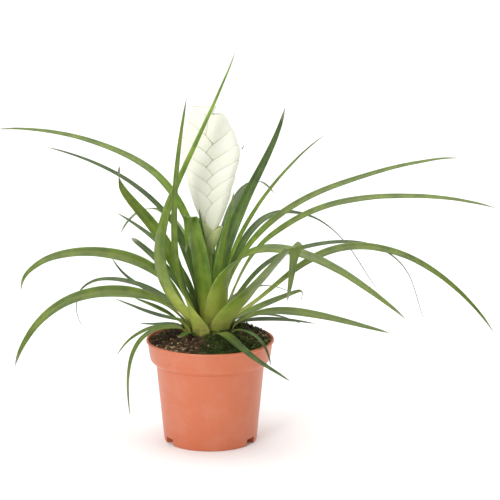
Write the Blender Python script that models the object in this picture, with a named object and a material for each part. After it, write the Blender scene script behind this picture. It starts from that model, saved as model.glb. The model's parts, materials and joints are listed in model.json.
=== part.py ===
"""A bromeliad with a pale flower paddle, growing in a 9 cm nursery pot.

Metres, +Z up.  The origin is the middle of the pot's underside, the front is -Y.
Each sub-part is one named object with its own material.
"""
import math
from collections import namedtuple

import bmesh
import bpy
from mathutils import Matrix, Vector

MM = 0.001
GAP = 0.3 * MM

# Pot
LIP_RADIUS = 45.0 * MM
POT_HEIGHT = 73.0 * MM
FOOT_RADIUS = 32.8 * MM
WALL = 1.2 * MM
POT_SIDES = 48
NOTCH_WIDTH = 9.5 * MM
NOTCH_HEIGHT = 5.0 * MM
NOTCH_DEPTH = 7.0 * MM
NOTCH_BEARINGS = (90, 210, 330)
DRAIN_RADIUS = 2.0 * MM

# Soil and stem
SOIL_EDGE = 70.6 * MM
MOUND_TOP = 76.4 * MM
MOUND_RADIUS = 19.6 * MM
PEG_RADIUS = 5.0 * MM
PEG_DEPTH = 10.0 * MM
HEART_RADIUS = 4.7 * MM

# Leaf rosette
INNER_LAYER = 5.5 * MM
LAYER_STEP = 1.3 * MM
LAYERS = 11
OUTER_ROOT = 77.4 * MM
ROOT_SLOPE = 0.6
ROOT_RISE = 84.0
SHEATH_LENGTH = 16.0 * MM
SHEATH_LOSS = 0.8 * MM
LEAF_THICKNESS = 0.8 * MM
TIP_THICKNESS = 0.35 * MM
CHANNEL_HALF_ANGLE = 0.62
TORN_LEAVES = ("leaf_broken_left",)
TORN_TAPER = 0.72
FOLD_LENGTH = 5.0 * MM
DRY_TIP_LOSS = 0.4
HUG_LENGTH = 12.0 * MM
NARROWING_LENGTH = 32.0 * MM

# Flower stalk and paddle
STALK_RADIUS = 1.7 * MM
STALK_BOTTOM = 85.6 * MM
STALK_TOP = 211.0 * MM
PADDLE_BOTTOM = 133.5 * MM
BRACT_COUNT = 14
BRACT_PITCH = 5.4 * MM
BRACT_LENGTH = 34.0 * MM
BRACT_THICKNESS = 0.25 * MM
BRACT_STEP = 0.5 * MM
SHORT_BRACTS = 2
SHORT_BRACT_LENGTH = 20.0 * MM
KEEL_CURVE = 3.4
KEEL_NEST = 0.42 * MM
BRACT_OVERLAP = 0.044
RIGHT_HALF_WIDTH = 22.0 * MM
LEFT_HALF_WIDTH = 19.8 * MM
PADDLE_FOOT = 4.1 * MM
PADDLE_TOP = PADDLE_BOTTOM + 108.5 * MM
SHOULDER = PADDLE_BOTTOM + 70.0 * MM
RIGHT_BLUNTNESS = 1.45
LEFT_BLUNTNESS = 3.2
BRACT_TIP = 1.8 * MM
CLOSING_LENGTH = 40.0 * MM
TOP_BRACT_TIPS = (5.0 * MM, 14.0 * MM, 19.0 * MM)
PETAL_FOOT = (22.2 * MM, 207.6 * MM)

# Colours, roughness
TERRACOTTA = ((0.72, 0.26, 0.13), 0.42)
PEAT = ((0.045, 0.032, 0.022), 0.95)
STEM_OLIVE = ((0.22, 0.25, 0.08), 0.60)
LEAF_GREEN = ((0.16, 0.32, 0.07), 0.45)
LEAF_DARK = ((0.07, 0.16, 0.045), 0.50)
STALK_GREEN = ((0.42, 0.50, 0.16), 0.50)
BRACT_CREAM = ((0.86, 0.85, 0.66), 0.45)
BRACT_GREEN = ((0.40, 0.52, 0.20), 0.48)
PETAL_VIOLET = ((0.20, 0.12, 0.26), 0.70)

# One row a leaf, from the heart outwards.  A heading is a compass direction in degrees
# from +X towards +Y, a rise is the angle above level; both run evenly from the foot of
# the blade to its tip.  Past 90 a leaf leans back over the plant.  Widths and lengths are
# in millimetres.  Roll turns the upper face to the front.  A fold is (place, degrees).
Leaf = namedtuple("Leaf", "name layer sheath blade length headings rises roll fold tone")
LEAVES = (
    Leaf("leaf_heart_front", 0, 9, 13, 82, (306, 330), (84, 78, 77, 76, 75, 84), 0, None, "bright"),
    Leaf("leaf_heart_right", 0, 8, 11.5, 144, (41, 32), (86, 73, 64, 58, 56, 62, 76), 35, None, "dark"),
    Leaf("leaf_heart_left", 0, 8, 9, 226, (160,), (88, 78, 55, 24, 13, 3, -7), 30, None, "bright"),
    Leaf("leaf_heart_dark", 0, 3.4, 10, 66, (223,), (93, 88, 84, 82), 0, None, "dark"),
    Leaf("leaf_upright_right", 1, 7, 7, 142, (10,), (83, 75, 64, 55, 50, 43, 35), 20, None, "bright"),
    Leaf("leaf_folded_left", 1, 10, 22, 92, (234, 228), (86, 80, 75, 77, 77), 0, (0.72, 160), "bright"),
    Leaf("leaf_hooked_left", 2, 5, 4, 90, (138,), (76, 62, 60, 62, 62), 20, (0.80, 150), "dark"),
    Leaf(
        "leaf_sweeping_right", 2, 9, 9, 212, (8,),
        (82, 60, 44, 29, 18, 15, 10, -4), 30, None, "bright",
    ),
    Leaf("leaf_sweeping_left", 1, 5.5, 7, 170, (160,), (84, 70, 45, 29, 17, 8), 25, None, "dark"),
    Leaf(
        "leaf_arching_back_right", 3, 8, 8, 206, (40, 32),
        (80, 62, 40, -6, -26, -46, -56, -50), 20, None, "dark",
    ),
    Leaf("leaf_slim_left", 3, 8, 7, 92, (150,), (72, 55, 40, 26, 22), 25, None, "dark"),
    Leaf(
        "leaf_long_right", 4, 10, 10, 226, (350,),
        (76, 61, 39, 25, 10, 2, -5, -16), 30, None, "bright",
    ),
    Leaf("leaf_broken_left", 4, 8, 8.5, 66, (157,), (65, 47, 38, 32), 25, None, "dark"),
    Leaf(
        "leaf_broad_front_right", 5, 20, 18, 182, (289, 338, 343, 343),
        (72, 66, 36, 2, -18, -27, -34, -38), 15, None, "bright",
    ),
    Leaf(
        "leaf_drooping_back_right", 5, 8, 7, 205, (22,),
        (60, 44, 14, 3, -12, -40, -72, -72), 20, None, "dark",
    ),
    Leaf(
        "leaf_curled_left", 5, 13, 16, 120, (200, 195, 190),
        (75, 70, 67, 59, 50, 53, 112), 60, None, "bright",
    ),
    Leaf(
        "leaf_tall_left", 9, 14, 7, 171, (250, 206, 183, 180, 180),
        (45, 64, 85, 91, 95, 98, 101), 70, None, "bright",
    ),
    Leaf(
        "leaf_arching_left", 6, 10, 13, 148, (185,),
        (66, 54, 34, 16, 3, -10, -35, -90), 45, None, "bright",
    ),
    Leaf(
        "leaf_arching_right", 6, 11, 10, 218, (355, 350),
        (34, 42, 37, 8, -15, -33, -45, -57), 35, None, "bright",
    ),
    Leaf(
        "leaf_crossing_front", 7, 20, 16, 212, (225, 225, 205, 198, 196),
        (40, 59, 99, 116, 118, 116, 113), 0, None, "bright",
    ),
    Leaf(
        "leaf_folded_right", 7, 20, 27, 135, (306, 319),
        (42, 41, 43, 47, 46, 43), 12, (0.71, 145), "bright",
    ),
    Leaf("leaf_thin_back_left", 8, 6, 6, 72, (151,), (38, 22, 18, 31, 63), 20, None, "dark"),
    Leaf("leaf_bent_right", 7, 9, 10, 56, (15,), (18, 21, 21, 17, 5), 20, (0.87, 110), "bright"),
    Leaf(
        "leaf_hanging_left", 8, 11.5, 13, 150, (198, 192),
        (50, 31, 13, -1, -18, -40, -58, -76), 45, None, "bright",
    ),
    Leaf(
        "leaf_curling_left", 7, 7, 7, 115, (168,),
        (48, 33, 21, 8, -5, -45, -97, -124), 25, None, "dark",
    ),
    Leaf("leaf_low_right", 8, 10, 12, 108, (353,), (27, 7, -6, -11, -13, -14), 25, None, "bright"),
    Leaf("leaf_low_back_right", 8, 6, 6, 54, (28,), (8, -3, -12, -24, -26), 15, None, "dark"),
    Leaf("leaf_short_left", 9, 10, 14, 44, (206, 212), (42, 30, 30, 30), 15, None, "bright"),
    Leaf("leaf_low_back_left", 9, 6, 6, 54, (155,), (0, 10, 15, 17), 15, None, "dark"),
    Leaf("leaf_lower_right", 9, 7, 7, 53, (12,), (5, 0, -6, -9, -12), 20, None, "dark"),
    Leaf("leaf_stub_left", 10, 5, 5, 26, (175,), (5, -5, 0, 8), 10, None, "dark"),
    Leaf("leaf_drooping_left", 10, 5, 6, 50, (191,), (12, -8, -21, -43, -62), 20, None, "bright"),
    Leaf(
        "leaf_pot_side_left", 10, 6, 7, 88, (208, 204),
        (12, 0, -36, -73, -85, -92, -96), 10, None, "bright",
    ),
    Leaf("leaf_stub_front", 10, 6, 5, 12, (234,), (0, -10, 0), 0, None, "dark"),
    Leaf("leaf_over_rim_front", 10, 9, 9, 97, (290, 300, 305), (6, -10, -8, -6, -8), 0, None, "dark"),
    Leaf("leaf_over_rim_right", 10, 5, 5, 40, (325, 315), (6, -10, -34, -60, -76), 0, None, "dark"),
    Leaf("leaf_back_upright", 1, 4, 7, 150, (88,), (82, 74, 60, 48, 36, 24), 0, None, "dark"),
    Leaf("leaf_back_long", 4, 9, 9, 190, (78, 70), (70, 52, 28, 6, -14, -34), 0, None, "dark"),
    Leaf("leaf_back_arching", 5, 9, 9, 180, (112, 120), (66, 46, 20, -4, -26, -46), 0, None, "bright"),
    Leaf("leaf_back_low", 7, 10, 9, 150, (88, 96), (48, 26, 6, -12, -28, -40), 0, None, "bright"),
    Leaf("leaf_back_lowest", 9, 9, 8, 110, (66, 60), (26, 8, -6, -16, -24), 0, None, "dark"),
)


def clear_scene():
    for item in list(bpy.data.objects):
        bpy.data.objects.remove(item, do_unlink=True)


def finish(name, colour, roughness):
    material = bpy.data.materials.new(name)
    material.use_nodes = True
    shader = material.node_tree.nodes["Principled BSDF"]
    shader.inputs["Base Color"].default_value = (*colour, 1.0)
    shader.inputs["Roughness"].default_value = roughness
    shader.inputs["Metallic"].default_value = 0.0
    return material


def add_object(name, bm, material):
    bmesh.ops.recalc_face_normals(bm, faces=bm.faces)
    if bm.calc_volume(signed=True) < 0.0:
        bmesh.ops.reverse_faces(bm, faces=bm.faces)
    mesh = bpy.data.meshes.new(name)
    bm.to_mesh(mesh)
    bm.free()
    mesh.materials.append(material)
    mesh.shade_smooth()
    obj = bpy.data.objects.new(name, mesh)
    bpy.context.scene.collection.objects.link(obj)
    return obj


def turned(profile, sides, lift=None):
    """Turn (radius, height) points about Z; both ends of the profile are on the axis."""
    bm = bmesh.new()
    bottom = bm.verts.new((0.0, 0.0, profile[0][1]))
    top = bm.verts.new((0.0, 0.0, profile[-1][1]))
    rings = []
    for radius, height in profile[1:-1]:
        ring = []
        for side in range(sides):
            angle = math.tau * side / sides
            raised = lift(radius, height, angle) if lift else height
            ring.append(bm.verts.new((radius * math.cos(angle), radius * math.sin(angle), raised)))
        rings.append(ring)
    for side in range(sides):
        after = (side + 1) % sides
        bm.faces.new((bottom, rings[0][after], rings[0][side]))
        bm.faces.new((top, rings[-1][side], rings[-1][after]))
        for lower, upper in zip(rings, rings[1:]):
            bm.faces.new((lower[side], lower[after], upper[after], upper[side]))
    return bm


def cutter(name, bm):
    mesh = bpy.data.meshes.new(name)
    bmesh.ops.recalc_face_normals(bm, faces=bm.faces)
    bm.to_mesh(mesh)
    bm.free()
    obj = bpy.data.objects.new(name, mesh)
    obj.hide_render = True
    obj.display_type = "WIRE"
    bpy.context.scene.collection.objects.link(obj)
    return obj


def join(target, tool, operation):
    modifier = target.modifiers.new(tool.name, "BOOLEAN")
    modifier.operation = operation
    modifier.solver = "EXACT"
    modifier.object = tool


def pocket_block(name, grow, low, high, outer):
    """A block at each notch, wider and taller by grow, from a height to a height."""
    bm = bmesh.new()
    inner = FOOT_RADIUS - NOTCH_DEPTH - grow
    for degrees in NOTCH_BEARINGS:
        block = bmesh.ops.create_cube(bm, size=1.0)["verts"]
        size = (outer - inner, NOTCH_WIDTH + 2.0 * grow, high - low)
        bmesh.ops.scale(bm, vec=size, verts=block)
        bmesh.ops.translate(bm, vec=(0.5 * (outer + inner), 0.0, 0.5 * (high + low)), verts=block)
        bmesh.ops.rotate(bm, matrix=Matrix.Rotation(math.radians(degrees), 3, "Z"), verts=block)
    return cutter(name, bm)


def make_pot():
    """A thin moulded pot whose floor rises over three drainage notches in its foot."""
    foot_inner = FOOT_RADIUS - 1.0 * MM
    profile = (
        (0.0, 0.0),
        (foot_inner, 0.0),
        (FOOT_RADIUS, 1.0 * MM),
        (38.2 * MM, 55.2 * MM),
        (38.9 * MM, 56.0 * MM),
        (41.7 * MM, 58.1 * MM),
        (42.4 * MM, 59.6 * MM),
        (44.0 * MM, 70.6 * MM),
        (LIP_RADIUS, POT_HEIGHT - 1.9 * MM),
        (LIP_RADIUS, POT_HEIGHT - 0.5 * MM),
        (LIP_RADIUS - 0.5 * MM, POT_HEIGHT),
        (LIP_RADIUS - 1.2 * MM, POT_HEIGHT),
        (LIP_RADIUS - 1.7 * MM, POT_HEIGHT - 0.5 * MM),
        (41.3 * MM, 60.2 * MM),
        (40.7 * MM, 58.9 * MM),
        (37.3 * MM, 56.2 * MM),
        (36.8 * MM, 54.6 * MM),
        (foot_inner - 0.1 * MM, WALL),
        (0.0, WALL),
    )
    pot = add_object("pot", turned(profile, POT_SIDES), finish("terracotta plastic", *TERRACOTTA))
    roof = NOTCH_HEIGHT + WALL
    join(pot, pocket_block("pocket_roofs", WALL, 0.6 * WALL, roof, FOOT_RADIUS - 1.0 * MM), "UNION")
    notches = pocket_block("notch_cutter", 0.0, -2.0 * MM, NOTCH_HEIGHT, FOOT_RADIUS + 3.0 * MM)
    join(pot, notches, "DIFFERENCE")
    drains = bmesh.new()
    for degrees in NOTCH_BEARINGS:
        rod = bmesh.ops.create_cone(
            drains,
            cap_ends=True,
            segments=12,
            radius1=DRAIN_RADIUS,
            radius2=DRAIN_RADIUS,
            depth=3.0 * MM,
        )["verts"]
        bmesh.ops.translate(drains, vec=(FOOT_RADIUS - 4.2 * MM, 0.0, roof - 0.5 * WALL), verts=rod)
        bmesh.ops.rotate(drains, matrix=Matrix.Rotation(math.radians(degrees), 3, "Z"), verts=rod)
    join(pot, cutter("drain_cutter", drains), "DIFFERENCE")


def soil_lift(radius, height, angle):
    """The surface between the wall and the mound is gently uneven."""
    loose = height > SOIL_EDGE and MOUND_RADIUS < radius < 40 * MM
    if not loose:
        return height
    return height + 0.5 * MM * math.sin(3 * angle + radius * 900) + 0.3 * MM * math.cos(7 * angle)


def make_soil():
    socket = PEG_RADIUS + GAP
    profile = (
        (0.0, WALL + GAP),
        (31.3 * MM, WALL + GAP),
        (36.4 * MM, 54.8 * MM),
        (36.9 * MM, 56.5 * MM),
        (40.2 * MM, 59.2 * MM),
        (40.8 * MM, 60.5 * MM),
        (42.3 * MM, SOIL_EDGE),
        (38.0 * MM, SOIL_EDGE + 1.0 * MM),
        (32.0 * MM, SOIL_EDGE + 3.0 * MM),
        (25.5 * MM, SOIL_EDGE + 5.4 * MM),
        (MOUND_RADIUS, MOUND_TOP),
        (socket, MOUND_TOP),
        (socket, MOUND_TOP - PEG_DEPTH - GAP),
        (0.0, MOUND_TOP - PEG_DEPTH - GAP),
    )
    soil = add_object("soil", turned(profile, 40, soil_lift), finish("peat soil", *PEAT))
    over_roof = NOTCH_HEIGHT + WALL + GAP
    pockets = pocket_block("soil_pockets", WALL + GAP, 0.0, over_roof, FOOT_RADIUS + 3.0 * MM)
    join(soil, pockets, "DIFFERENCE")


def root_height(radius):
    outer = INNER_LAYER + LAYER_STEP * (LAYERS - 1)
    return OUTER_ROOT + ROOT_SLOPE * (outer - radius)


def make_stem():
    """The short stem: a peg in the soil, and a low cone that the leaves spring from."""
    skirt = INNER_LAYER + LAYER_STEP * (LAYERS - 1)
    below = 0.7 * MM
    profile = (
        (0.0, MOUND_TOP - PEG_DEPTH),
        (PEG_RADIUS, MOUND_TOP - PEG_DEPTH),
        (PEG_RADIUS, MOUND_TOP + GAP),
        (skirt + 0.4 * MM, MOUND_TOP + GAP),
        (skirt + 0.4 * MM, root_height(skirt + 0.4 * MM) - below),
        (HEART_RADIUS, root_height(HEART_RADIUS) - below),
        (0.0, root_height(HEART_RADIUS) - below),
    )
    add_object("stem", turned(profile, 32), finish("stem olive", *STEM_OLIVE))


def spread(values, place):
    """The value at place (0 to 1) along evenly spaced values."""
    if len(values) == 1:
        return float(values[0])
    along = min(max(place, 0.0), 1.0) * (len(values) - 1)
    index = min(int(along), len(values) - 2)
    return values[index] + (values[index + 1] - values[index]) * (along - index)


def smooth(value):
    value = min(max(value, 0.0), 1.0)
    return value * value * (3.0 - 2.0 * value)


def leaf_angles(leaf, travelled, sheath_length):
    """Heading and rise, in degrees, at a distance from the root."""
    length = leaf.length * MM
    place = (travelled - sheath_length) / length
    heading = spread(leaf.headings, place)
    rise = spread(leaf.rises, place)
    if place < 0.0:
        rise = ROOT_RISE + (leaf.rises[0] - ROOT_RISE) * travelled / sheath_length
    if leaf.fold:
        centre, turn = leaf.fold
        rise -= turn * smooth((place - centre) * length / FOLD_LENGTH + 0.5)
    return heading, rise


def leaf_stations(leaf):
    """Distances from the root to each cross-section, closer together at a fold."""
    sheath_length = SHEATH_LENGTH - SHEATH_LOSS * leaf.layer
    length = leaf.length * MM
    count = max(4, min(12, round(leaf.length / 15)))
    places = [index / count for index in range(1, count)] + [0.96]
    if leaf.fold:
        half = 0.5 * FOLD_LENGTH / length
        centre = leaf.fold[0]
        places = [place for place in places if abs(place - centre) > 1.6 * half]
        places += [centre - half, centre - 0.33 * half, centre + 0.33 * half, centre + half]
    distances = [0.0, 0.5 * sheath_length, sheath_length]
    distances += [sheath_length + length * place for place in sorted(places)]
    return distances, sheath_length, sheath_length + length


def leaf_section(leaf, travelled, sheath_length):
    """Width, half angle and thickness of the channelled blade at a distance."""
    length = leaf.length * MM
    place = max(0.0, (travelled - sheath_length) / length)
    radius = INNER_LAYER + LAYER_STEP * leaf.layer
    taper = TORN_TAPER * place if leaf.name in TORN_LEAVES else place
    blade = leaf.blade * MM * (1.0 - taper) ** 0.55
    change = smooth(travelled / (sheath_length + HUG_LENGTH))
    narrowing = smooth(travelled / (sheath_length + NARROWING_LENGTH))
    width = leaf.sheath * MM * (1.0 - narrowing) + blade * narrowing
    if leaf.fold:
        width *= 1.0 - DRY_TIP_LOSS * smooth((place - leaf.fold[0]) * length / FOLD_LENGTH)
    hugging = width / (2.0 * radius)
    half_angle = hugging * (1.0 - change) + CHANNEL_HALF_ANGLE * (1.0 - 0.35 * place) * change
    thickness = LEAF_THICKNESS + (TIP_THICKNESS - LEAF_THICKNESS) * place
    return width, half_angle, thickness


def make_leaf(leaf, materials):
    distances, sheath_length, total = leaf_stations(leaf)
    radius = INNER_LAYER + LAYER_STEP * leaf.layer
    bearing = math.radians(leaf.headings[0])
    point = Vector((radius * math.cos(bearing), radius * math.sin(bearing), root_height(radius)))
    bm = bmesh.new()
    rings = []
    step = 0.5 * MM
    travelled = 0.0
    for goal in distances + [total]:
        while travelled < goal:
            move = min(step, goal - travelled)
            heading, rise = leaf_angles(leaf, travelled + 0.5 * move, sheath_length)
            turn, climb = math.radians(heading), math.radians(rise)
            flat = math.cos(climb)
            ahead = Vector((flat * math.cos(turn), flat * math.sin(turn), math.sin(climb)))
            point = point + ahead * move
            travelled += move
            if goal - travelled < 1e-9:
                travelled = goal
        if goal == total:
            break
        heading, rise = leaf_angles(leaf, travelled, sheath_length)
        turn, climb = math.radians(heading), math.radians(rise)
        side = Vector((-math.sin(turn), math.cos(turn), 0.0))
        back = -math.sin(climb)
        face = Vector((back * math.cos(turn), back * math.sin(turn), math.cos(climb)))
        roll = leaf.roll * smooth((travelled - sheath_length) / (0.4 * leaf.length * MM))
        roll = math.radians(roll) * (1.0 if math.cos(turn) > 0 else -1.0)
        side, face = (
            side * math.cos(roll) + face * math.sin(roll),
            face * math.cos(roll) - side * math.sin(roll),
        )
        width, half_angle, thickness = leaf_section(leaf, travelled, sheath_length)
        arc = width / (2.0 * half_angle)
        ring = []
        for share, inward in ((-1, 0), (-0.33, 0.5), (0.33, 0.5), (1, 0), (0.33, -0.5), (-0.33, -0.5)):
            reach = arc - inward * thickness
            angle = half_angle * share
            place = point + side * (reach * math.sin(angle)) + face * (arc - reach * math.cos(angle))
            ring.append(bm.verts.new(place))
        rings.append(ring)
    tip = bm.verts.new(point)
    for lower, upper in zip(rings, rings[1:]):
        for index in range(6):
            after = (index + 1) % 6
            bm.faces.new((lower[index], lower[after], upper[after], upper[index]))
    for index in range(6):
        bm.faces.new((rings[-1][index], rings[-1][(index + 1) % 6], tip))
    root = rings[0]
    bm.faces.new((root[0], root[1], root[5]))
    bm.faces.new((root[1], root[2], root[4], root[5]))
    bm.faces.new((root[2], root[3], root[4]))
    bmesh.ops.triangulate(bm, faces=bm.faces)
    add_object(leaf.name, bm, materials[leaf.tone])


def make_leaves():
    materials = {
        "bright": finish("leaf green", *LEAF_GREEN),
        "dark": finish("leaf dark green", *LEAF_DARK),
    }
    for leaf in LEAVES:
        make_leaf(leaf, materials)


def make_stalk():
    profile = (
        (0.0, STALK_BOTTOM),
        (STALK_RADIUS, STALK_BOTTOM),
        (STALK_RADIUS, PADDLE_BOTTOM),
        (0.5 * STALK_RADIUS, STALK_TOP),
        (0.0, STALK_TOP),
    )
    add_object("stalk", turned(profile, 12), finish("stalk green", *STALK_GREEN))


def paddle_edge(height, hand):
    """Half width of the paddle at a height above the ground.

    It widens evenly to the shoulder.  Above that the left side is blunt, and the right
    side slopes away.
    """
    widest = RIGHT_HALF_WIDTH if hand > 0 else LEFT_HALF_WIDTH
    if height < SHOULDER:
        climb = (height - PADDLE_BOTTOM) / (SHOULDER - PADDLE_BOTTOM)
        return PADDLE_FOOT + (widest - PADDLE_FOOT) * climb
    bluntness = RIGHT_BLUNTNESS if hand > 0 else LEFT_BLUNTNESS
    climb = (height - SHOULDER) / (PADDLE_TOP - SHOULDER)
    return widest * (1.0 - climb**bluntness) ** (1.0 / bluntness)


def closing(height):
    """How far the flaps stay apart at a height: they draw together towards the top."""
    drawing = smooth((height - PADDLE_TOP + CLOSING_LENGTH) / (CLOSING_LENGTH - BRACT_PITCH))
    shutting = smooth((height - PADDLE_TOP + BRACT_PITCH) / BRACT_PITCH)
    return 1.0 - 0.42 * drawing - 0.38 * shutting


def flap_depth(from_keel, depth):
    """A flap rises from the keel and then lies parallel to the paddle's face."""
    return depth * (1.0 - (1.0 - min(1.0, from_keel / (1.1 * depth))) ** 2)


def bract_outline(index, place, inset):
    """Half of a bract's cross-section, margin to keel, at a share of its length.

    Its keel keeps inside the bracts below it on its side, by one nesting step each.
    """
    hand = 1.0 if index % 2 == 0 else -1.0
    length = SHORT_BRACT_LENGTH if index < SHORT_BRACTS else BRACT_LENGTH
    height = length * place
    axis = STALK_RADIUS + GAP
    spring = axis + 0.5 * MM
    outside = (length - height) / (2.0 * BRACT_PITCH)
    edge = paddle_edge(PADDLE_BOTTOM + BRACT_PITCH * index + height, hand)
    reach = max(0.0, edge - KEEL_NEST * outside - spring)
    keel = spring + reach * (1.0 - (1.0 - place) ** KEEL_CURVE)
    from_top = BRACT_COUNT - 1 - index
    tip = TOP_BRACT_TIPS[-1 - from_top] if from_top < len(TOP_BRACT_TIPS) else BRACT_TIP
    margin = -axis - BRACT_OVERLAP * length * math.sin(math.pi * place)
    margin += (keel - tip - margin) * max(0.0, place - 0.45) ** 1.7 / 0.55**1.7
    depth = axis + BRACT_STEP * height / BRACT_PITCH
    depth *= closing(PADDLE_BOTTOM + BRACT_PITCH * index + height)
    points = []
    for share in (1.0, 0.68, 0.44, 0.25, 0.1, 0.0):
        from_keel = share * (keel - margin)
        drawn_in = max(0.0, from_keel - inset)
        points.append((keel - inset - drawn_in, flap_depth(from_keel, depth) - inset))
    return length, points


def make_bract(index, material):
    """A folded boat: two flaps, front and back, that meet in a keel at the paddle's edge."""
    hand = 1.0 if index % 2 == 0 else -1.0
    foot = PADDLE_BOTTOM + BRACT_PITCH * index
    bm = bmesh.new()
    rings = []
    for place in (0.0, 0.12, 0.28, 0.46, 0.64, 0.8, 0.92, 1.0):
        length, outer = bract_outline(index, place, 0.0)
        inner = bract_outline(index, place, BRACT_THICKNESS)[1]
        outer = outer[:-1] + [(outer[-1][0], 0.0)] + [(x, -y) for x, y in outer[-2::-1]]
        inner = inner[:-1] + [(inner[-1][0], 0.0)] + [(x, -y) for x, y in inner[-2::-1]]
        height = foot + length * place
        ring = [bm.verts.new((hand * x, y, height)) for x, y in outer + inner[::-1]]
        rings.append(ring)
    count = len(rings[0])
    for lower, upper in zip(rings, rings[1:]):
        for turn in range(count):
            after = (turn + 1) % count
            bm.faces.new((lower[turn], lower[after], upper[after], upper[turn]))
    for ring in (rings[0], rings[-1]):
        for turn in range(count // 2 - 1):
            bm.faces.new((ring[turn], ring[turn + 1], ring[count - 2 - turn], ring[count - 1 - turn]))
    bmesh.ops.triangulate(bm, faces=bm.faces)
    add_object(f"bract_{index + 1:02d}", bm, material)


def make_paddle():
    green = finish("bract green", *BRACT_GREEN)
    cream = finish("bract cream", *BRACT_CREAM)
    for index in range(BRACT_COUNT):
        make_bract(index, green if index < SHORT_BRACTS else cream)


def make_petal():
    """A withered petal, curled up at the paddle's right edge."""
    bm = bmesh.new()
    rings = []
    for place in (0.0, 0.35, 0.7):
        sideways = PETAL_FOOT[0] + 3.6 * MM * place * math.cos(0.9 * place)
        height = PETAL_FOOT[1] + 5.0 * MM * place
        size = 0.8 * MM * (1.0 - 0.5 * place)
        ring = []
        for corner in range(5):
            angle = math.tau * corner / 5
            across, deep = size * math.cos(angle), 0.6 * size * math.sin(angle)
            ring.append(bm.verts.new((sideways + across, deep, height)))
        rings.append(ring)
    tip = bm.verts.new((PETAL_FOOT[0] + 1.9 * MM, 0.0, PETAL_FOOT[1] + 5.2 * MM))
    for corner in range(5):
        after = (corner + 1) % 5
        for lower, upper in zip(rings, rings[1:]):
            bm.faces.new((lower[corner], lower[after], upper[after], upper[corner]))
        bm.faces.new((rings[-1][corner], rings[-1][after], tip))
    bm.faces.new(rings[0][::-1])
    bmesh.ops.triangulate(bm, faces=bm.faces)
    add_object("petal", bm, finish("withered petal", *PETAL_VIOLET))


clear_scene()
make_pot()
make_soil()
make_stem()
make_leaves()
make_stalk()
make_paddle()
make_petal()
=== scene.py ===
"""The looks of a potted bromeliad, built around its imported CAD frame."""
import json
import math

import bmesh
import bpy
from mathutils import Matrix, Vector, noise


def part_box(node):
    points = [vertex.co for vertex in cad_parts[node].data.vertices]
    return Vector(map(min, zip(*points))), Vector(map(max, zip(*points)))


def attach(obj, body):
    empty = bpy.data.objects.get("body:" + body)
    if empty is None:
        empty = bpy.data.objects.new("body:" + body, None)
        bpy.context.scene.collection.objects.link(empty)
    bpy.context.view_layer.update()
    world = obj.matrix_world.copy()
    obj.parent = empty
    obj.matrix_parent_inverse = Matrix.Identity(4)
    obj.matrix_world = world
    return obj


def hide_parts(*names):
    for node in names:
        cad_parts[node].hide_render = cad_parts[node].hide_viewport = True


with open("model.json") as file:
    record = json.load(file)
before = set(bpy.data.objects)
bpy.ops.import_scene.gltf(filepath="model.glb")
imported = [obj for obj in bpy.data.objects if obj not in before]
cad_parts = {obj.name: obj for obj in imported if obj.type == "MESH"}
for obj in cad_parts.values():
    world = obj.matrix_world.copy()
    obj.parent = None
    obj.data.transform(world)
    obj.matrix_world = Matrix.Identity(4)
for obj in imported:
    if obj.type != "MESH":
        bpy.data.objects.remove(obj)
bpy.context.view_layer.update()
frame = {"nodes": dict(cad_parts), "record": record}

# Viewpoint.  A long lens a little above the pot's rim, level with the middle of the plant.
VIEW_CENTRE = Vector((0.028, 0.0, 0.1365))
VIEW_DISTANCE = 1.5
VIEW_DOWN = math.radians(12.5)

camera = bpy.data.objects.new("camera", bpy.data.cameras.new("camera"))
camera.data.lens = 155.0
camera.data.sensor_width = 36.0
back_off = Vector((0.0, -math.cos(VIEW_DOWN), math.sin(VIEW_DOWN))) * VIEW_DISTANCE
camera.location = VIEW_CENTRE + back_off
camera.rotation_euler = (0.5 * math.pi - VIEW_DOWN, 0.0, 0.0)
bpy.context.scene.collection.objects.link(camera)
bpy.context.scene.camera = camera

# Pot.  One thin moulding of terracotta-coloured plastic: a rounded lip, a deep collar to
# grip and stack by, a tapered body, and a flat floor with raised pockets over the drains.
POT_TURNS = 160
POT_WALL = 0.0012
FOOT_RADIUS = 0.0328
NOTCH_BEARINGS = (90, 210, 330)
NOTCH_WIDTH = 0.0095
NOTCH_HEIGHT = 0.005
NOTCH_DEPTH = 0.007
NOTCH_ROUNDING = 0.0007
DRAIN_RADIUS = 0.002
DRAIN_PLACE = 0.0286
SHARPEST_SMOOTH = math.radians(38)
pot_low, pot_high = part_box("pot")
LIP = 0.5 * (pot_high[0] - pot_low[0])
POT_HEIGHT = pot_high[2]


def link(name, mesh):
    """A named object at the origin for a finished mesh."""
    piece = bpy.data.objects.new(name, mesh)
    bpy.context.scene.collection.objects.link(piece)
    return piece


def close_up(name, bm):
    """Merge doubles, point the faces outwards, and make the mesh an object."""
    bmesh.ops.remove_doubles(bm, verts=bm.verts, dist=1e-6)
    bmesh.ops.recalc_face_normals(bm, faces=bm.faces)
    if bm.calc_volume(signed=True) < 0.0:
        bmesh.ops.reverse_faces(bm, faces=bm.faces)
    mesh = bpy.data.meshes.new(name)
    bm.to_mesh(mesh)
    bm.free()
    mesh.shade_smooth()
    return link(name, mesh)


def thrown(name, profile, turns):
    """Spin a profile of (radius, height) points, which starts and ends on the axis."""
    bm = bmesh.new()
    verts = [bm.verts.new((radius, 0.0, height)) for radius, height in profile]
    edges = [bm.edges.new(pair) for pair in zip(verts, verts[1:])]
    bmesh.ops.spin(
        bm,
        geom=verts + edges,
        cent=(0, 0, 0),
        axis=(0, 0, 1),
        angle=math.tau,
        steps=turns,
        use_merge=True,
    )
    return close_up(name, bm)


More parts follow.
